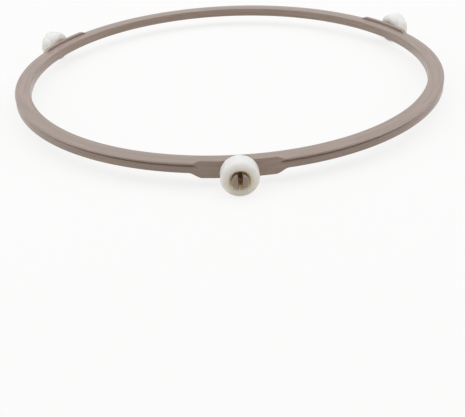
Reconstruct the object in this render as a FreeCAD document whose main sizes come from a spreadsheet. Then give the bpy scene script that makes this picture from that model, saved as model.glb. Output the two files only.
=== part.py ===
"""Microwave roller ring: a flat moulded ring that runs on three rollers under a glass tray.

The ring frame is one moulding. Its rim has three pads, where the outer wall is taller than the rim,
and each pad carries a stub axle with a shoulder and a split snap head. A roller turns on each axle,
held between the shoulder and the snap head, whose back slopes down into the roller's outer recess.

Millimetres, +Z up. The origin is on the ring's axis, at the level that the rollers stand on.
The front axle points along -Y.
"""
import FreeCAD, Part
import Sketcher
import os

# Driving sizes: name, millimetres, what it measures
SIZES = (
    ("ring_diameter", 200.0, "outside of the rim"),
    ("ring_width", 7.0, "rim, measured along a radius"),
    ("ring_height", 4.2, "rim, top to bottom"),
    ("ring_edge_radius", 0.45, "rounding of the rim's four edges"),
    ("ring_lift", 0.5, "middle of the rim above the axles"),
    ("pad_thickness", 2.0, "pad wall, measured along a radius"),
    ("pad_edge_radius", 0.35, "rounding of the pad's level edges"),
    ("pad_rise", 1.1, "pad above the rim's top"),
    ("pad_drop", 2.0, "pad below the rim's bottom"),
    ("pad_top_length", 28.2, "level stretch of the pad's top"),
    ("pad_top_ramp", 4.9, "length of each ramp from the pad's top to the rim"),
    ("pad_bottom_length", 27.7, "level stretch of the pad's bottom"),
    ("pad_bottom_ramp", 6.2, "length of each ramp from the pad's bottom to the rim"),
    ("shoulder_diameter", 6.8, "axle's shoulder, which spaces the roller off the pad"),
    ("shoulder_length", 0.6, "shoulder beyond the rim's outside"),
    ("axle_diameter", 5.3, "part of the axle that the roller turns on"),
    ("bore_clearance", 0.05, "axle to bore, on the radius"),
    ("end_gap", 0.3, "roller to shoulder"),
    ("head_gap", 1.2, "recess floor to snap head, which leaves the roller loose along its axle"),
    ("head_diameter", 6.4, "snap head at its widest"),
    ("head_back", 1.0, "slope at the back of the snap head, along the axle"),
    ("head_land", 0.2, "widest stretch of the snap head"),
    ("head_taper", 0.5, "lead-in taper of the snap head"),
    ("tip_diameter", 5.4, "end of the snap head"),
    ("slot_width", 1.75, "gap between the axle's two prongs"),
    ("slot_depth", 8.0, "gap between the prongs, from the tip inwards"),
    ("roller_diameter", 14.5, "tread of the roller"),
    ("roller_width", 8.4, "roller along its axle"),
    ("roller_edge_radius", 2.45, "rounding of the tread's two edges"),
    ("roller_land", 0.1, "least flat that the rounding leaves on tread and face"),
    ("recess_diameter", 7.2, "outer recess, which takes the back of the snap head"),
    ("recess_depth", 1.8, "outer recess, from the roller's outer face"),
    ("recess_lip", 1.1, "rounding of the recess's mouth"),
    ("bore_chamfer", 0.3, "lead-in at the bore's inner end"),
)

# Stations round the ring, in order from the front one, a third of a turn apart
STATIONS = ("front", "right", "left")
FRONT_ANGLE = 270
STATION_STEP = 360 / len(STATIONS)

# Places that several features share, as expressions on the driving sizes.
# Heights are above the floor and reaches are outwards from the ring's axis.
RIM_OUTSIDE = "(Sizes.ring_diameter / 2)"
RIM_INSIDE = f"({RIM_OUTSIDE} - Sizes.ring_width)"
PAD_INSIDE = f"({RIM_OUTSIDE} - Sizes.pad_thickness)"
AXLE_HEIGHT = "(Sizes.roller_diameter / 2)"
RIM_MIDDLE = f"({AXLE_HEIGHT} + Sizes.ring_lift)"
RIM_TOP = f"({RIM_MIDDLE} + Sizes.ring_height / 2)"
RIM_BOTTOM = f"({RIM_MIDDLE} - Sizes.ring_height / 2)"
PAD_TOP = f"({RIM_TOP} + Sizes.pad_rise)"
PAD_BOTTOM = f"({RIM_BOTTOM} - Sizes.pad_drop)"
SHOULDER_FACE = f"({RIM_OUTSIDE} + Sizes.shoulder_length)"
ROLLER_MIDDLE = f"({SHOULDER_FACE} + Sizes.end_gap + Sizes.roller_width / 2)"
RECESS_FLOOR = f"({ROLLER_MIDDLE} + Sizes.roller_width / 2 - Sizes.recess_depth)"
HEAD_FOOT = f"({RECESS_FLOOR} + Sizes.head_gap)"
HEAD_BACK = f"({HEAD_FOOT} + Sizes.head_back)"
HEAD_WIDEST = f"({HEAD_BACK} + Sizes.head_land)"
AXLE_TIP = f"({HEAD_WIDEST} + Sizes.head_taper)"


def make_sheet(doc):
    """Put the driving sizes in a sheet, one aliased cell each."""
    sheet = doc.addObject("Spreadsheet::Sheet", "Sizes")
    for row, (name, value, meaning) in enumerate(SIZES, start=1):
        sheet.set(f"A{row}", name)
        sheet.set(f"B{row}", str(value))
        sheet.setAlias(f"B{row}", name)
        sheet.set(f"C{row}", meaning)
    doc.recompute()


def origin_part(body, role):
    """The body's own origin plane or axis with this role."""
    return next(item for item in body.Origin.OriginFeatures if item.Role == role)


def make_sketch(body, name, plane, offset="0"):
    """An empty sketch on one of the body's origin planes, moved along the plane's normal."""
    sketch = body.newObject("Sketcher::SketchObject", name)
    sketch.AttachmentSupport = [(origin_part(body, plane), "")]
    sketch.MapMode = "FlatFace"
    sketch.setExpression("AttachmentOffset.Base.z", offset)
    return sketch


def hold_point(sketch, piece, end, name, place):
    """Tie one end of a line or arc to a place given by two expressions."""
    for axis, expression in zip("XY", place):
        value = float(sketch.evalExpression(expression))
        index = sketch.addConstraint(Sketcher.Constraint("Distance" + axis, piece, end, value))
        label = f"{name}_{axis.lower()}"
        sketch.renameConstraint(index, label)
        sketch.setExpression(f"Constraints.{label}", expression)


def draw_outline(sketch, corners):
    """Draw a closed outline through corners that run counter-clockwise.

    A corner is (name, x, y) or (name, x, y, radius), all expressions. A right-angled corner may take
    a radius, and a tangent arc then rounds it.
    """
    def point(place):
        x, y = (float(sketch.evalExpression(expression)) for expression in place)
        return FreeCAD.Vector(x, y, 0)

    sharp = [point(corner[1:3]) for corner in corners]
    stops = []
    for index, (name, x, y, *rounding) in enumerate(corners):
        if not rounding:
            stops.append((name, (x, y), None))
            continue
        radius = rounding[0]
        before = (sharp[index - 1] - sharp[index]).normalize()
        after = (sharp[(index + 1) % len(sharp)] - sharp[index]).normalize()
        arc_start = (f"{x} + {before.x} * {radius}", f"{y} + {before.y} * {radius}")
        arc_end = (f"{x} + {after.x} * {radius}", f"{y} + {after.y} * {radius}")
        centre = sharp[index] + (before + after) * float(sketch.evalExpression(radius))
        turns_left = before.cross(after).z < 0
        stops.append((name + "_from", arc_start, (radius, centre, turns_left)))
        stops.append((name + "_to", arc_end, None))

    # An arc always runs counter-clockwise, so on a right turn its ends are swapped
    pieces = []
    for index, (name, place, arc) in enumerate(stops):
        start = point(place)
        end = point(stops[(index + 1) % len(stops)][1])
        ends = (1, 2)
        if arc is None:
            piece = sketch.addGeometry(Part.LineSegment(start, end), False)
        else:
            radius, centre, turns_left = arc
            if not turns_left:
                start, end = end, start
                ends = (2, 1)
            circle = Part.Circle(centre, FreeCAD.Vector(0, 0, 1), (start - centre).Length)
            bow = Part.ArcOfCircle(circle, circle.parameter(start), circle.parameter(end))
            piece = sketch.addGeometry(bow, False)
            size = sketch.addConstraint(Sketcher.Constraint("Radius", piece, circle.Radius))
            sketch.renameConstraint(size, name + "_radius")
            sketch.setExpression(f"Constraints.{name}_radius", radius)
        pieces.append((piece, *ends))
    for index, (name, place, arc) in enumerate(stops):
        piece, first, last = pieces[index]
        following, following_first, following_last = pieces[(index + 1) % len(pieces)]
        hold_point(sketch, piece, first, name, place)
        sketch.addConstraint(Sketcher.Constraint("Coincident", piece, last, following, following_first))


def add_feature(body, kind, name, sketch, **settings):
    """Add a sketched feature to the body and set its properties."""
    feature = body.newObject("PartDesign::" + kind, name)
    feature.Profile = sketch
    for setting, value in settings.items():
        setattr(feature, setting, value)
    return feature


def repeat_round_ring(body, name, features):
    """Repeat features at every station of the ring."""
    pattern = body.newObject("PartDesign::PolarPattern", name)
    pattern.Originals = features
    pattern.Axis = (origin_part(body, "Z_Axis"), [""])
    pattern.Angle = 360
    pattern.Occurrences = len(STATIONS)
    body.Tip = pattern
    return pattern


def add_rim(body):
    """The flat rim: a rectangle with rounded edges, turned about the ring's axis."""
    edge = "Sizes.ring_edge_radius"
    section = make_sketch(body, "rim_section", "XZ_Plane")
    draw_outline(section, (
        ("inner_bottom", RIM_INSIDE, RIM_BOTTOM, edge),
        ("outer_bottom", RIM_OUTSIDE, RIM_BOTTOM, edge),
        ("outer_top", RIM_OUTSIDE, RIM_TOP, edge),
        ("inner_top", RIM_INSIDE, RIM_TOP, edge),
    ))
    add_feature(body, "Revolution", "rim", section, ReferenceAxis=(section, ["V_Axis"]))


def add_pads(body):
    """Three pads: blocks with ramped ends, trimmed to a wall that is flush with the rim's outside."""
    top_end = "Sizes.pad_top_length / 2"
    bottom_end = "Sizes.pad_bottom_length / 2"
    top_foot = f"({top_end} + Sizes.pad_top_ramp)"
    bottom_foot = f"({bottom_end} + Sizes.pad_bottom_ramp)"
    ramp_top = f"({RIM_TOP} - Sizes.ring_edge_radius)"
    ramp_bottom = f"({RIM_BOTTOM} + Sizes.ring_edge_radius)"
    block_inside = f"({RIM_INSIDE} + Sizes.ring_width / 4)"
    elevation = make_sketch(body, "pad_elevation", "XZ_Plane", block_inside)
    draw_outline(elevation, (
        ("bottom_left", f"-({bottom_end})", PAD_BOTTOM),
        ("bottom_right", bottom_end, PAD_BOTTOM),
        ("low_right", bottom_foot, ramp_bottom),
        ("high_right", top_foot, ramp_top),
        ("top_right", top_end, PAD_TOP),
        ("top_left", f"-({top_end})", PAD_TOP),
        ("high_left", f"-{top_foot}", ramp_top),
        ("low_left", f"-{bottom_foot}", ramp_bottom),
    ))
    block = add_feature(body, "Pad", "pad_block", elevation)
    block.setExpression("Length", "Sizes.ring_width")
    repeat_round_ring(body, "pad_blocks", [block])

    edge = "Sizes.pad_edge_radius"
    beyond = f"({RIM_OUTSIDE} + Sizes.ring_width)"
    above = f"({PAD_TOP} + Sizes.pad_rise)"
    below = f"({PAD_BOTTOM} - Sizes.pad_drop / 2)"
    crest = f"({RIM_OUTSIDE} - Sizes.pad_thickness / 2)"
    outside = make_sketch(body, "pad_outside_trim", "XZ_Plane")
    draw_outline(outside, (
        ("crest_below", crest, below),
        ("outer_below", beyond, below),
        ("outer_above", beyond, above),
        ("crest_above", crest, above),
        ("crest_top", crest, PAD_TOP),
        ("pad_top", RIM_OUTSIDE, PAD_TOP, edge),
        ("pad_bottom", RIM_OUTSIDE, PAD_BOTTOM, edge),
        ("crest_bottom", crest, PAD_BOTTOM),
    ))
    add_feature(body, "Groove", "pad_outside", outside, ReferenceAxis=(outside, ["V_Axis"]))
    upper = make_sketch(body, "pad_upper_trim", "XZ_Plane")
    draw_outline(upper, (
        ("rim_inner", RIM_INSIDE, RIM_TOP),
        ("pad_foot", PAD_INSIDE, RIM_TOP),
        ("pad_top", PAD_INSIDE, PAD_TOP, edge),
        ("crest_top", crest, PAD_TOP),
        ("crest_above", crest, above),
        ("inner_above", RIM_INSIDE, above),
    ))
    add_feature(body, "Groove", "pad_upper_inside", upper, ReferenceAxis=(upper, ["V_Axis"]))
    lower = make_sketch(body, "pad_lower_trim", "XZ_Plane")
    draw_outline(lower, (
        ("inner_below", RIM_INSIDE, below),
        ("crest_below", crest, below),
        ("crest_bottom", crest, PAD_BOTTOM),
        ("pad_bottom", PAD_INSIDE, PAD_BOTTOM, edge),
        ("pad_foot", PAD_INSIDE, RIM_BOTTOM),
        ("rim_inner", RIM_INSIDE, RIM_BOTTOM),
    ))
    add_feature(body, "Groove", "pad_lower_inside", lower, ReferenceAxis=(lower, ["V_Axis"]))


def add_axles(body):
    """Three stub axles: shoulder, shank and snap head, slotted into two prongs.

    The half section's first line lies on the axle's own axis, and the section is turned about it.
    """
    root = f"-({RIM_OUTSIDE} - Sizes.pad_thickness / 2)"
    shoulder = f"-{SHOULDER_FACE}"
    foot = f"-{HEAD_FOOT}"
    back = f"-{HEAD_BACK}"
    widest = f"-{HEAD_WIDEST}"
    tip = f"-{AXLE_TIP}"
    shoulder_side = f"{AXLE_HEIGHT} + Sizes.shoulder_diameter / 2"
    shank_side = f"{AXLE_HEIGHT} + Sizes.axle_diameter / 2"
    head_side = f"{AXLE_HEIGHT} + Sizes.head_diameter / 2"
    tip_side = f"{AXLE_HEIGHT} + Sizes.tip_diameter / 2"
    half = make_sketch(body, "axle_half_section", "YZ_Plane")
    draw_outline(half, (
        ("tip_axis", tip, AXLE_HEIGHT),
        ("root_axis", root, AXLE_HEIGHT),
        ("root_side", root, shoulder_side),
        ("shoulder_edge", shoulder, shoulder_side),
        ("shoulder_corner", shoulder, shank_side),
        ("head_foot", foot, shank_side),
        ("head_back", back, head_side),
        ("head_widest", widest, head_side),
        ("tip_edge", tip, tip_side),
    ))
    axle = add_feature(body, "Revolution", "axle", half, ReferenceAxis=(half, ["Edge1"]))

    slot_end = f"-({AXLE_TIP} - Sizes.slot_depth)"
    past_tip = f"-({AXLE_TIP} + Sizes.head_land)"
    slot_top = f"{AXLE_HEIGHT} + Sizes.head_diameter"
    slot_bottom = f"{AXLE_HEIGHT} - Sizes.head_diameter"
    side = make_sketch(body, "slot_side", "YZ_Plane")
    draw_outline(side, (
        ("outer_bottom", past_tip, slot_bottom),
        ("inner_bottom", slot_end, slot_bottom),
        ("inner_top", slot_end, slot_top),
        ("outer_top", past_tip, slot_top),
    ))
    slot = add_feature(body, "Pocket", "slot", side, SideType="Symmetric")
    slot.setExpression("Length", "Sizes.slot_width")
    repeat_round_ring(body, "axles", [axle, slot])


def make_ring_frame(doc):
    body = doc.addObject("PartDesign::Body", "ring_frame")
    add_rim(body)
    add_pads(body)
    add_axles(body)
    return body


def make_roller(doc, station, angle):
    """A roller, drawn about its own X axis, which points outwards along the axle."""
    body = doc.addObject("PartDesign::Body", "roller_" + station)
    inner = "-Sizes.roller_width / 2"
    outer = "Sizes.roller_width / 2"
    floor = f"({outer} - Sizes.recess_depth)"
    bore = "(Sizes.axle_diameter / 2 + Sizes.bore_clearance)"
    recess = "Sizes.recess_diameter / 2"
    tread = "Sizes.roller_diameter / 2"
    face_width = f"{tread} - {recess} - Sizes.recess_lip"
    edge = (f"min(Sizes.roller_edge_radius; {face_width} - Sizes.roller_land;"
            f" {outer} - Sizes.roller_land)")
    half = make_sketch(body, f"{station}_half_section", "XZ_Plane")
    draw_outline(half, (
        ("bore_inner", f"{inner} + Sizes.bore_chamfer", bore),
        ("bore_outer", floor, bore),
        ("recess_floor", floor, recess),
        ("recess_mouth", outer, recess, "Sizes.recess_lip"),
        ("outer_edge", outer, tread, edge),
        ("inner_edge", inner, tread, edge),
        ("bore_mouth", inner, f"{bore} + Sizes.bore_chamfer"),
    ))
    add_feature(body, "Revolution", f"{station}_barrel", half, ReferenceAxis=(half, ["H_Axis"]))
    body.setExpression("Placement.Base.x", f"{ROLLER_MIDDLE} * cos({angle} deg)")
    body.setExpression("Placement.Base.y", f"{ROLLER_MIDDLE} * sin({angle} deg)")
    body.setExpression("Placement.Base.z", AXLE_HEIGHT)
    body.setExpression("Placement.Rotation.Angle", f"{angle} deg")
    return body


def check(doc, bodies):
    """Stop if a feature failed, a cut removed nothing, or a piece isn't one valid solid."""
    for item in doc.Objects:
        if "Invalid" in item.State or "Error" in item.State:
            raise RuntimeError(f"{item.Name} failed: {item.State}")
        if item.TypeId in ("PartDesign::Pocket", "PartDesign::Groove"):
            if item.Shape.Volume >= item.BaseFeature.Shape.Volume:
                raise RuntimeError(f"{item.Name} cuts nothing")
    for body in bodies:
        shape = body.Shape
        if shape.isNull() or not shape.isValid() or len(shape.Solids) != 1:
            raise RuntimeError(f"{body.Label} is not one valid solid")


doc = FreeCAD.newDocument("roller_ring")
make_sheet(doc)
bodies = [make_ring_frame(doc)]
for index, station in enumerate(STATIONS):
    bodies.append(make_roller(doc, station, FRONT_ANGLE + index * STATION_STEP))
doc.recompute()
check(doc, bodies)
os.makedirs("parts", exist_ok=True)
for body in bodies:
    body.Shape.exportStep(f"parts/{body.Label}.step")
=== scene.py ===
"""A microwave roller ring: a taupe moulded ring that runs on three ivory rollers, on a pale floor."""
import math

import bmesh
import bpy
import numpy
from mathutils import Matrix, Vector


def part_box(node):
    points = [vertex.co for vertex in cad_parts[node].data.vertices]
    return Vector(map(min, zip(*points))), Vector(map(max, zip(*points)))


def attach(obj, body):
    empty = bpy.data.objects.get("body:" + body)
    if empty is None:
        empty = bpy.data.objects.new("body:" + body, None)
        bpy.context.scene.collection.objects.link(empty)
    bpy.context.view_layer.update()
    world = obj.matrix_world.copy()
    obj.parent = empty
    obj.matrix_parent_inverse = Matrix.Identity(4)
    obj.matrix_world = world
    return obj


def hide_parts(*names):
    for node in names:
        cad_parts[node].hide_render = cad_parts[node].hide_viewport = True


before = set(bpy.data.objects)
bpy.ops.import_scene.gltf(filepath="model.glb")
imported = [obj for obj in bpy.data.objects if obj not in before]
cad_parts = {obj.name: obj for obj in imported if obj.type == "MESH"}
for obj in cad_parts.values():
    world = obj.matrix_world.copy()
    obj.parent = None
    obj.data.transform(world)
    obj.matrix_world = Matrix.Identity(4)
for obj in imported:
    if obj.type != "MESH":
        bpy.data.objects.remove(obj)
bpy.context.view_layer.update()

MM = 0.001

# Where each axle points, as an angle round the ring from +X
STATIONS = {"front": math.radians(270), "right": math.radians(30), "left": math.radians(150)}

# Read from the solids: heights above the floor, reaches out from the ring's axis, and the tread's radius
ring_low, ring_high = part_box("ring_frame")
roller_low, roller_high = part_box("roller_front")
AXLE_HEIGHT = (roller_low[2] + roller_high[2]) / 2
TREAD_RADIUS = (roller_high[2] - roller_low[2]) / 2
ROLLER_INSIDE = -roller_high[1]
ROLLER_OUTSIDE = -roller_low[1]
RIM_OUTSIDE = ring_high[1]
AXLE_TIP = -ring_low[1]
PAD_TOP = ring_high[2]
PAD_BOTTOM = ring_low[2]

# The rim, and the taller pads along its outer side that carry the axles
RIM_INSIDE = RIM_OUTSIDE - 7.0 * MM
RIM_TOP = PAD_TOP - 1.1 * MM
RIM_BOTTOM = PAD_BOTTOM + 2.0 * MM
RIM_EDGE = 0.45 * MM
PAD_INSIDE = RIM_OUTSIDE - 2.0 * MM
PAD_EDGE = 0.35 * MM
# Half lengths of a pad, as angles: where its level top and bottom end, and where their ramps meet the rim
TOP_LEVEL = math.asin(14.1 * MM / RIM_OUTSIDE)
TOP_FOOT = math.asin(17.6 * MM / RIM_OUTSIDE)
BOTTOM_LEVEL = math.asin(13.85 * MM / RIM_OUTSIDE)
BOTTOM_FOOT = math.asin(18.9 * MM / RIM_OUTSIDE)
# Between the pads the rim's outer top edge is rounder, with a shallow cove under it. The cove's line is in
# millimetres below the rim's top and in from its outside.
RIM_TOP_EDGE = 0.65 * MM
COVE_LINE = (
    (0.75, 0.0),
    (0.8, 0.55),
    (0.9, 0.9),
    (1.35, 0.95),
    (1.6, 0.6),
    (1.9, 0.35),
    (2.8, 0.12),
    (3.8, 0.0),
)
COVE = [(below * MM, inwards * MM) for below, inwards in COVE_LINE]

# The axle, from its root in the pad to the tip of its split snap head
AXLE_ROOT = RIM_OUTSIDE - 1.0 * MM
SHOULDER_FACE = RIM_OUTSIDE + 0.6 * MM
SHOULDER_RADIUS = 3.4 * MM
SHOULDER_EDGE = 0.1 * MM
SHANK_RADIUS = 2.65 * MM
HEAD_RADIUS = 3.2 * MM
HEAD_EDGE = 0.08 * MM
TIP_RADIUS = 2.7 * MM
TIP_EDGE = 0.15 * MM
HEAD_WIDEST = AXLE_TIP - 0.5 * MM
HEAD_BACK = HEAD_WIDEST - 0.2 * MM
HEAD_FOOT = HEAD_BACK - 1.0 * MM
HEAD_FOOT_EDGE = 0.2 * MM
SLOT_HALF = 0.875 * MM
SLOT_END = AXLE_TIP - 8.0 * MM
PRONG_EDGE = 0.12 * MM

# The roller, along its axle and out from it
BORE_RADIUS = 2.7 * MM
BORE_CHAMFER = 0.3 * MM
BORE_EDGE = 0.1 * MM
RECESS_RADIUS = 3.6 * MM
RECESS_FLOOR = ROLLER_OUTSIDE - 1.8 * MM
RECESS_CORNER = 0.2 * MM
RECESS_LIP = 1.1 * MM
TREAD_EDGE = 2.45 * MM

# Colours, as sRGB hex values. The floor has a warm white by which it lights the object, and a plain one
# that it shows.
TAUPE = "958174"
ROSY_TAUPE = "9C837A"
STREAK_BROWN = "867467"
MILK_WHITE = "FDFBF7"
CREAM_WHITE = "FAF6EE"
# Beige round the rollers' bores: partly the plastic's own yellowing, partly painted shade
BORE_BEIGE_AND_PAINTED_SHADE = "DECDAC"
FLOOR_WARM_WHITE = "F2E7D7"
FLOOR_PLAIN_WHITE = "F4F4F2"
PURE_WHITE = "FFFFFF"

# Sizes of what the plastics' skins show. The real grain and mottle are a few hundredths of a millimetre
# across, too fine to show here, and are drawn coarser.
STREAK_WIDTH = 1.0 * MM
STREAK_LENGTH = 22.0 * MM
DRIFT_SIZE = 45.0 * MM
GRAIN_SIZE = 0.5 * MM
MOTTLE_SIZE = 1.2 * MM
RELIEF_DEPTH = 0.03 * MM
# How far light wanders inside a roller
SCATTER_LENGTH = 8.0 * MM
# The beige round a roller's bore, its own yellowing and painted shade, fades out at this distance from the
# axle
BEIGE_AND_SHADE_REACH = 6.4 * MM
# Most of a noise's values lie between these two
NOISE_LOW = 0.3
NOISE_HIGH = 0.7
# A colour mix has its two colours at these inputs, and the result at this output
MIX_FROM = 6
MIX_TO = 7
MIX_RESULT = 2

# Fineness of the meshes
RIM_STEP = math.radians(0.75)
RAMP_STEP = math.radians(0.25)
TURNED_STEPS = 96
BROAD_ROUNDING = 0.5 * MM
BROAD_STEPS = 12
EDGE_STEPS = 4
PRONG_STEPS = 2
SHARP_ANGLE = math.radians(40)
SAME_PLACE = 0.001 * MM
# A point this near to a cut lies on it
ON_CUT = 2 * SAME_PLACE
# A point past this share of the way from the rim's level to the pad's belongs to the pad
PAD_STARTS = 0.01

# The floor: half its side in metres, and the share of glow in the white that it shows
FLOOR_HALF_SIDE = 12.0
FLOOR_GLOW = 0.8
# The room's brightness as it lights the object, and as it shows
ROOM_LIGHT = 0.38
ROOM_SHOWN = 0.87
# Soft boxes that face the origin: name, width, height, watts and place
SOFT_BOXES = (
    ("overhead_soft_box", 1.4, 1.1, 6.0, (0.0, 0.15, 1.0)),
    ("left_soft_box", 0.8, 0.5, 2.4, (-0.9, 0.0, 0.6)),
    ("right_soft_box", 0.8, 0.5, 2.4, (0.9, 0.0, 0.6)),
)

# The camera faces the origin from this distance and direction, is rolled, and is then moved sideways and
# down in its own picture plane
CAMERA_DISTANCE = 0.380
CAMERA_AZIMUTH = math.radians(-1.03)
CAMERA_ELEVATION = math.radians(30.8)
CAMERA_ROLL = math.radians(-2.74)
CAMERA_SIDESTEP = 1.5 * MM
CAMERA_DROP = 59.4 * MM
CAMERA_CLIP = 10.0 * MM
PICTURE_WIDTH = 465
FOCAL_LENGTH_IN_PIXELS = 785.1
FILM_WIDTH = 36.0


def linear(hex_colour):
    """An sRGB hex colour such as "A5978F" as linear red, green, blue and an alpha of one."""
    channels = [int(hex_colour[start:start + 2], 16) / 255 for start in (0, 2, 4)]
    return [c / 12.92 if c <= 0.04045 else ((c + 0.055) / 1.055) ** 2.4 for c in channels] + [1.0]


def add(tree, kind, inputs=(), **settings):
    """Add a node. Settings are its properties, and inputs gives its sockets values or sockets to link."""
    node = tree.nodes.new(kind)
    for name, value in settings.items():
        setattr(node, name, value)
    for socket, value in dict(inputs).items():
        if isinstance(value, bpy.types.NodeSocket):
            tree.links.new(value, node.inputs[socket])
        else:
            node.inputs[socket].default_value = value
    return node


def new_material(name):
    """A material, its node tree with nothing else in it yet, and its output node."""
    material = bpy.data.materials.new(name)
    material.use_nodes = True
    material.node_tree.nodes.clear()
    output = material.node_tree.nodes.new("ShaderNodeOutputMaterial")
    return material, material.node_tree, output


def satin_moulded_polyester():
    """Glass-filled polyester, moulded with a satin skin.

    To the eye it is a warm grey-brown. The clear resin at its surface is a coat over the filled body,
    whose soft sheen makes it paler where it is seen at a low angle. The melt ran both ways round the ring
    from its gate, and left faint streaks along it and slow drifts of tone. The skin has a fine grain.
    """
    material, tree, output = new_material("satin_moulded_polyester")
    place = add(tree, "ShaderNodeTexCoord").outputs["Object"]
    parts = add(tree, "ShaderNodeSeparateXYZ", {0: place}).outputs
    flat = add(tree, "ShaderNodeCombineXYZ", {"X": parts["X"], "Y": parts["Y"]}).outputs[0]
    reach = add(tree, "ShaderNodeVectorMath", {0: flat}, operation="LENGTH").outputs["Value"]
    across = add(tree, "ShaderNodeMath", {0: reach, 1: parts["Z"]}, operation="ADD").outputs[0]
    across_lines = add(tree, "ShaderNodeMath", {
        0: across, 1: 1 / STREAK_WIDTH,
    }, operation="MULTIPLY").outputs[0]
    along = add(tree, "ShaderNodeVectorMath", {
        0: flat, "Scale": 1 / STREAK_LENGTH,
    }, operation="SCALE").outputs[0]
    on_top = add(tree, "ShaderNodeCombineXYZ", {"Z": across_lines}).outputs[0]
    streak_place = add(tree, "ShaderNodeVectorMath", {0: along, 1: on_top}, operation="ADD").outputs[0]
    streaks = add(tree, "ShaderNodeTexNoise", {
        "Vector": streak_place, "Scale": 1.0, "Detail": 3.0, "Roughness": 0.6,
    }).outputs["Fac"]
    streak_share = add(tree, "ShaderNodeMapRange", {
        "Value": streaks, "From Min": NOISE_LOW, "From Max": NOISE_HIGH,
    }, interpolation_type="SMOOTHSTEP").outputs["Result"]
    drift = add(tree, "ShaderNodeTexNoise", {
        "Vector": place, "Scale": 1 / DRIFT_SIZE, "Detail": 1.0,
    }).outputs["Fac"]
    drift_share = add(tree, "ShaderNodeMapRange", {
        "Value": drift, "From Min": NOISE_LOW, "From Max": NOISE_HIGH,
    }, interpolation_type="SMOOTHSTEP").outputs["Result"]
    body = add(tree, "ShaderNodeMix", {
        "Factor": drift_share, MIX_FROM: linear(TAUPE), MIX_TO: linear(ROSY_TAUPE),
    }, data_type="RGBA").outputs[MIX_RESULT]
    streaked = add(tree, "ShaderNodeMix", {
        "Factor": streak_share, MIX_FROM: linear(STREAK_BROWN), MIX_TO: body,
    }, data_type="RGBA").outputs[MIX_RESULT]
    gloss = add(tree, "ShaderNodeMapRange", {
        "Value": streaks, "From Min": NOISE_LOW, "From Max": NOISE_HIGH, "To Min": 0.5, "To Max": 0.38,
    }).outputs["Result"]
    grain = add(tree, "ShaderNodeTexNoise", {
        "Vector": place, "Scale": 1 / GRAIN_SIZE, "Detail": 2.0,
    }).outputs["Fac"]
    relief = add(tree, "ShaderNodeBump", {
        "Strength": 0.25, "Distance": RELIEF_DEPTH, "Height": grain,
    }).outputs["Normal"]
    shader = add(tree, "ShaderNodeBsdfPrincipled", {
        "Base Color": streaked, "Roughness": gloss, "IOR": 1.55, "Normal": relief,
        "Coat Weight": 1.0, "Coat Roughness": 0.4, "Coat Normal": relief,
    })
    tree.links.new(shader.outputs["BSDF"], output.inputs["Surface"])
    return material


def ivory_moulded_acetal():
    """Natural acetal, moulded: milky, with a soft gloss.

    Light wanders through it, so shaded parts stay bright and warm. Round the bore it is beige, partly
    the plastic's own yellowing and partly painted shade, where the light has come furthest. The skin shows
    a faint mottle.
    """
    material, tree, output = new_material("ivory_moulded_acetal")
    place = add(tree, "ShaderNodeTexCoord").outputs["Object"]
    bore_beige_and_shade = add(tree, "ShaderNodeAttribute", attribute_name="bore_beige_and_shade").outputs["Fac"]
    mottle = add(tree, "ShaderNodeTexNoise", {
        "Vector": place, "Scale": 1 / MOTTLE_SIZE, "Detail": 2.0,
    }).outputs["Fac"]
    milk = add(tree, "ShaderNodeMix", {
        "Factor": mottle, MIX_FROM: linear(MILK_WHITE), MIX_TO: linear(CREAM_WHITE),
    }, data_type="RGBA").outputs[MIX_RESULT]
    # Beige round the bore: partly the plastic's own yellowing, partly painted shade of the recess
    tinted_and_shaded = add(tree, "ShaderNodeMix", {
        "Factor": bore_beige_and_shade, MIX_FROM: milk, MIX_TO: linear(BORE_BEIGE_AND_PAINTED_SHADE),
    }, data_type="RGBA").outputs[MIX_RESULT]
    gloss = add(tree, "ShaderNodeMapRange", {
        "Value": mottle, "To Min": 0.32, "To Max": 0.44,
    }).outputs["Result"]
    relief = add(tree, "ShaderNodeBump", {
        "Strength": 0.15, "Distance": RELIEF_DEPTH, "Height": mottle,
    }).outputs["Normal"]
    shader = add(tree, "ShaderNodeBsdfPrincipled", {
        "Base Color": tinted_and_shaded, "Roughness": gloss, "IOR": 1.48, "Normal": relief, "Subsurface Weight": 1.0,
        "Subsurface Radius": (1.0, 0.97, 0.9), "Subsurface Scale": SCATTER_LENGTH,
    })
    tree.links.new(shader.outputs["BSDF"], output.inputs["Surface"])
    return material


def draw_line(bm, corners, closed):
    """Join corners (x, z, rounding) by a line in the XZ plane, and round the corners that ask for it."""
    points = [bm.verts.new((x, 0, z)) for x, z, rounding in corners]
    for start, end in zip(points, points[1:]):
        bm.edges.new((start, end))
    if closed:
        bm.edges.new((points[-1], points[0]))
    for point, (x, z, rounding) in zip(points, corners):
        if rounding:
            steps = BROAD_STEPS if rounding > BROAD_ROUNDING else EDGE_STEPS
            bmesh.ops.bevel(bm, geom=[point], offset=rounding, offset_type="OFFSET", segments=steps,
                            profile=0.5, affect="VERTICES", material=-1)
    return bm.verts[:] + bm.edges[:]


def close_shell(bm):
    """Merge the points that meet and turn all faces outwards."""
    bmesh.ops.remove_doubles(bm, verts=bm.verts[:], dist=SAME_PLACE)
    bmesh.ops.recalc_face_normals(bm, faces=bm.faces[:])


def turn_on_lathe(corners, closed):
    """Turn a half section about the X axis."""
    bm = bmesh.new()
    line = draw_line(bm, corners, closed)
    bmesh.ops.spin(bm, geom=line, axis=(1, 0, 0), cent=(0, 0, 0), angle=math.tau, steps=TURNED_STEPS,
                   use_merge=True)
    close_shell(bm)
    return bm


def set_at_station(bm, angle):
    """Move a piece drawn about the X axis to the axle that points this way."""
    place = Matrix.Translation((0, 0, AXLE_HEIGHT)) @ Matrix.Rotation(angle, 4, "Z")
    bmesh.ops.transform(bm, matrix=place, verts=bm.verts[:])


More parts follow.
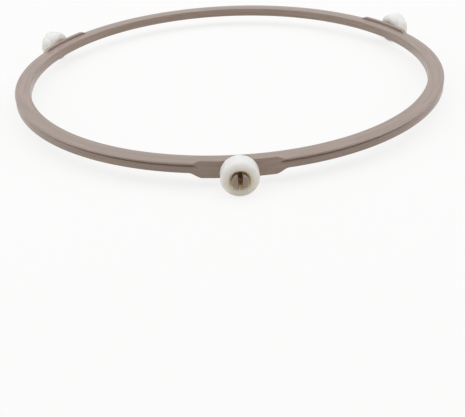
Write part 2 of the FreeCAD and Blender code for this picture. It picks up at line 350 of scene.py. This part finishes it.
def off_station(point):
    """The angle round the ring from the nearest axle."""
    angle = math.atan2(point.y, point.x)
    return min(abs((angle - station + math.pi) % math.tau - math.pi) for station in STATIONS.values())


def spin_rim(bm):
    """Spin the section that a pad has right round the ring, with finer steps along the pads' ramps."""
    wall = [(RIM_OUTSIDE, RIM_TOP - below, 0) for below, inwards in reversed(COVE)]
    line = draw_line(bm, (
        (RIM_INSIDE, RIM_BOTTOM, RIM_EDGE),
        (PAD_INSIDE, RIM_BOTTOM, 0),
        (PAD_INSIDE, PAD_BOTTOM, PAD_EDGE),
        (RIM_OUTSIDE, PAD_BOTTOM, PAD_EDGE),
        *wall,
        (RIM_OUTSIDE, PAD_TOP, PAD_EDGE),
        (PAD_INSIDE, PAD_TOP, PAD_EDGE),
        (PAD_INSIDE, RIM_TOP, 0),
        (RIM_INSIDE, RIM_TOP, RIM_EDGE),
    ), closed=True)
    ramps = (BOTTOM_FOOT, TOP_FOOT, TOP_LEVEL, BOTTOM_LEVEL)
    stops = [-angle for angle in ramps] + sorted(ramps)
    stops.append(stops[0] + math.tau / len(STATIONS))
    bmesh.ops.rotate(bm, verts=bm.verts[:], cent=(0, 0, 0),
                     matrix=Matrix.Rotation(STATIONS["front"] + stops[0], 3, "Z"))
    for station in STATIONS:
        for start, end in zip(stops, stops[1:]):
            on_ramp = BOTTOM_LEVEL < abs(start + end) / 2 < BOTTOM_FOOT
            steps = math.ceil((end - start) / (RAMP_STEP if on_ramp else RIM_STEP))
            line = bmesh.ops.spin(bm, geom=line, axis=(0, 0, 1), cent=(0, 0, 0), angle=end - start,
                                  steps=steps)["geom_last"]
    close_shell(bm)


def pad_share(point, foot, level):
    """One on a pad and none between the pads, with a soft ramp from its foot to where the pad is level."""
    share = (foot - off_station(point)) / (foot - level)
    share = min(max(share, 0), 1)
    return share * share * (3 - 2 * share)


def press_between_pads(bm, rim, pad, foot, level, edge):
    """Press the pads' strip to the rim's level between the pads.

    The step at the strip's inner side grows flatter, and its outer edge takes on the rounding given here.
    """
    for point in bm.verts:
        if (point.co.z - rim) / (pad - rim) > PAD_STARTS:
            height = pad_share(point.co, foot, level)
            reach = point.co.xy.length
            if reach < (PAD_INSIDE + RIM_OUTSIDE) / 2:
                point.co.z = rim + (point.co.z - rim) * height
            else:
                growth = height + (1 - height) * edge / PAD_EDGE
                point.co.z = rim + (pad - rim) * height + (point.co.z - pad) * growth
                point.co.xy *= (RIM_OUTSIDE - (RIM_OUTSIDE - reach) * growth) / reach


def draw_cove(bm):
    """Between the pads, draw the outer wall in to a shallow cove under the rim's top edge."""
    below_top, depths = zip(*COVE)
    for point in bm.verts:
        reach = point.co.xy.length
        if reach > RIM_OUTSIDE - SAME_PLACE:
            depth = numpy.interp(RIM_TOP - point.co.z, below_top, depths)
            point.co.xy *= 1 - depth * (1 - pad_share(point.co, TOP_FOOT, TOP_LEVEL)) / reach


def rim_with_pads():
    bm = bmesh.new()
    spin_rim(bm)
    press_between_pads(bm, RIM_TOP, PAD_TOP, TOP_FOOT, TOP_LEVEL, RIM_TOP_EDGE)
    press_between_pads(bm, RIM_BOTTOM, PAD_BOTTOM, BOTTOM_FOOT, BOTTOM_LEVEL, PAD_EDGE)
    draw_cove(bm)
    close_shell(bm)
    return bm


def split_axle():
    """A stub axle with its shoulder and snap head, slotted into two prongs."""
    bm = turn_on_lathe((
        (AXLE_TIP, 0, 0),
        (AXLE_TIP, TIP_RADIUS, TIP_EDGE),
        (HEAD_WIDEST, HEAD_RADIUS, HEAD_EDGE),
        (HEAD_BACK, HEAD_RADIUS, HEAD_EDGE),
        (HEAD_FOOT, SHANK_RADIUS, HEAD_FOOT_EDGE),
        (SHOULDER_FACE, SHANK_RADIUS, SHOULDER_EDGE),
        (SHOULDER_FACE, SHOULDER_RADIUS, SHOULDER_EDGE),
        (AXLE_ROOT, SHOULDER_RADIUS, 0),
        (AXLE_ROOT, 0, 0),
    ), closed=False)
    for place, across in (
        ((0, SLOT_HALF, 0), (0, 1, 0)),
        ((0, -SLOT_HALF, 0), (0, 1, 0)),
        ((SLOT_END, 0, 0), (1, 0, 0)),
    ):
        everything = bm.verts[:] + bm.edges[:] + bm.faces[:]
        bmesh.ops.bisect_plane(bm, geom=everything, plane_co=place, plane_no=across, dist=SAME_PLACE)
    in_slot = []
    for face in bm.faces:
        middle = face.calc_center_median()
        if middle.x > SLOT_END and abs(middle.y) < SLOT_HALF:
            in_slot.append(face)
    bmesh.ops.delete(bm, geom=in_slot, context="FACES")

    def on_flat(point, side):
        return abs(point.co.y - side) < ON_CUT and point.co.x > SLOT_END - ON_CUT

    def on_right_flat(point):
        return on_flat(point, SLOT_HALF)

    def on_left_flat(point):
        return on_flat(point, -SLOT_HALF)

    def on_floor(point):
        return abs(point.co.x - SLOT_END) < ON_CUT and abs(point.co.y) < SLOT_HALF + ON_CUT

    # Close the slot: a line across its floor at each prong, then both prongs' flats and the floor. Right
    # and left are as seen from the tip.
    for on_prong in (on_right_flat, on_left_flat):
        ends = [point for point in bm.verts if on_floor(point) and on_prong(point)]
        ends.sort(key=lambda point: point.co.z)
        bm.edges.new((ends[0], ends[-1]))
    for on_side in (on_right_flat, on_left_flat, on_floor):
        open_rim = [edge for edge in bm.edges
                    if len(edge.link_faces) < 2 and all(on_side(point) for point in edge.verts)]
        bmesh.ops.contextual_create(bm, geom=open_rim)
    close_shell(bm)
    sharp = [edge for edge in bm.edges if edge.calc_face_angle(0) > SHARP_ANGLE
             and all(on_right_flat(point) or on_left_flat(point) for point in edge.verts)]
    bmesh.ops.bevel(bm, geom=sharp, offset=PRONG_EDGE, offset_type="OFFSET", segments=PRONG_STEPS,
                    profile=0.5, affect="EDGES", material=-1)
    return bm


def barrel_roller():
    """A roller about the X axis: a bore, an outer recess with a soft mouth, and a broadly round tread."""
    bm = turn_on_lathe((
        (ROLLER_INSIDE + BORE_CHAMFER, BORE_RADIUS, 0),
        (RECESS_FLOOR, BORE_RADIUS, BORE_EDGE),
        (RECESS_FLOOR, RECESS_RADIUS, RECESS_CORNER),
        (ROLLER_OUTSIDE, RECESS_RADIUS, RECESS_LIP),
        (ROLLER_OUTSIDE, TREAD_RADIUS, TREAD_EDGE),
        (ROLLER_INSIDE, TREAD_RADIUS, TREAD_EDGE),
        (ROLLER_INSIDE, BORE_RADIUS + BORE_CHAMFER, 0),
    ), closed=True)
    # A share for the beige round the bore: partly the plastic's own yellowing, partly painted shade
    bore_beige_and_shade = bm.verts.layers.float.new("bore_beige_and_shade")
    for point in bm.verts:
        share = (BEIGE_AND_SHADE_REACH - point.co.yz.length) / (BEIGE_AND_SHADE_REACH - BORE_RADIUS)
        point[bore_beige_and_shade] = max(share, 0) ** 2
    return bm


def new_object(bm, name):
    mesh = bpy.data.meshes.new(name)
    bm.to_mesh(mesh)
    bm.free()
    made = bpy.data.objects.new(name, mesh)
    bpy.context.collection.objects.link(made)
    return made


def finish_piece(piece, material, node, body):
    """Shade a piece, and let it stand for a CAD node and move with its body."""
    piece.data.shade_smooth()
    piece.data.set_sharp_from_angle(angle=SHARP_ANGLE)
    piece.data.materials.clear()
    piece.data.materials.append(material)
    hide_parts(node)
    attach(piece, body)


def make_ring(material):
    """The ring's one moulding: the rim with its pads, joined with the three axles."""
    ring = new_object(rim_with_pads(), "ring_moulding")
    axles = []
    for station, angle in STATIONS.items():
        bm = split_axle()
        set_at_station(bm, angle)
        axle = new_object(bm, "axle_" + station)
        join = ring.modifiers.new("join_" + station, "BOOLEAN")
        join.operation = "UNION"
        join.solver = "EXACT"
        join.object = axle
        axles.append(axle)
    depsgraph = bpy.context.evaluated_depsgraph_get()
    joined = bpy.data.meshes.new_from_object(ring.evaluated_get(depsgraph))
    bm = bmesh.new()
    bm.from_mesh(joined)
    bmesh.ops.dissolve_degenerate(bm, dist=SAME_PLACE, edges=bm.edges[:])
    bm.to_mesh(joined)
    bm.free()
    ring.modifiers.clear()
    ring.data = joined
    for axle in axles:
        bpy.data.objects.remove(axle)
    finish_piece(ring, material, "ring_frame", "frame")


def make_rollers(material):
    for station, angle in STATIONS.items():
        bm = barrel_roller()
        set_at_station(bm, angle)
        roller = new_object(bm, f"{station}_roller_moulding")
        finish_piece(roller, material, f"roller_{station}", f"{station}_roller")


def seen_directly(tree):
    """One for rays that show the surface itself: from the camera, a mirror image or through glass."""
    path = add(tree, "ShaderNodeLightPath")
    shown = add(tree, "ShaderNodeMath", {
        0: path.outputs["Is Camera Ray"], 1: path.outputs["Is Glossy Ray"],
    }, operation="MAXIMUM")
    return add(tree, "ShaderNodeMath", {
        0: shown.outputs[0], 1: path.outputs["Is Transmission Ray"],
    }, operation="MAXIMUM").outputs[0]


def studio_floor():
    """A matt white sheet that keeps a faint shadow under the object."""
    material, tree, output = new_material("matt_white_floor_sheet")
    shown = seen_directly(tree)
    paper = add(tree, "ShaderNodeMix", {
        "Factor": shown, MIX_FROM: linear(FLOOR_WARM_WHITE), MIX_TO: linear(FLOOR_PLAIN_WHITE),
    }, data_type="RGBA").outputs[MIX_RESULT]
    sheet = add(tree, "ShaderNodeBsdfDiffuse", {"Color": paper})
    glow = add(tree, "ShaderNodeEmission", {"Color": linear(PURE_WHITE), "Strength": 1.0})
    share = add(tree, "ShaderNodeMath", {0: shown, 1: FLOOR_GLOW}, operation="MULTIPLY")
    both = add(tree, "ShaderNodeMixShader", {
        0: share.outputs[0], 1: sheet.outputs["BSDF"], 2: glow.outputs["Emission"],
    })
    tree.links.new(both.outputs["Shader"], output.inputs["Surface"])
    bm = bmesh.new()
    bmesh.ops.create_grid(bm, x_segments=1, y_segments=1, size=FLOOR_HALF_SIDE)
    floor = new_object(bm, "floor")
    floor.data.materials.append(material)


def studio_light():
    """A large soft box overhead, a weak one at each side, and an even room around them."""
    world = bpy.data.worlds.new("studio")
    world.use_nodes = True
    tree = world.node_tree
    tree.nodes.clear()
    room = add(tree, "ShaderNodeBackground", {"Color": linear(PURE_WHITE), "Strength": ROOM_LIGHT})
    white = add(tree, "ShaderNodeBackground", {"Color": linear(PURE_WHITE), "Strength": ROOM_SHOWN})
    both = add(tree, "ShaderNodeMixShader", {
        0: seen_directly(tree), 1: room.outputs["Background"], 2: white.outputs["Background"],
    })
    output = tree.nodes.new("ShaderNodeOutputWorld")
    tree.links.new(both.outputs["Shader"], output.inputs["Surface"])
    bpy.context.scene.world = world

    for name, width, height, watts, place in SOFT_BOXES:
        lamp = bpy.data.lights.new(name, "AREA")
        lamp.shape = "RECTANGLE"
        lamp.size = width
        lamp.size_y = height
        lamp.energy = watts
        box = bpy.data.objects.new(name, lamp)
        box.location = place
        box.rotation_euler = (-box.location).to_track_quat("-Z", "Y").to_euler()
        bpy.context.collection.objects.link(box)


def studio_camera():
    camera = bpy.data.cameras.new("camera")
    camera.sensor_fit = "HORIZONTAL"
    camera.sensor_width = FILM_WIDTH
    camera.lens = FOCAL_LENGTH_IN_PIXELS / PICTURE_WIDTH * FILM_WIDTH
    camera.clip_start = CAMERA_CLIP
    swing = Matrix.Rotation(CAMERA_AZIMUTH, 4, "Z")
    tilt = Matrix.Rotation(math.radians(90) - CAMERA_ELEVATION, 4, "X")
    roll = Matrix.Rotation(CAMERA_ROLL, 4, "Z")
    steps = Matrix.Translation((CAMERA_SIDESTEP, -CAMERA_DROP, CAMERA_DISTANCE))
    eye = bpy.data.objects.new("camera", camera)
    eye.matrix_world = swing @ tilt @ roll @ steps
    bpy.context.collection.objects.link(eye)
    bpy.context.scene.camera = eye


make_ring(satin_moulded_polyester())
make_rollers(ivory_moulded_acetal())
studio_floor()
studio_light()
studio_camera()
bpy.context.scene.view_settings.view_transform = "Standard"
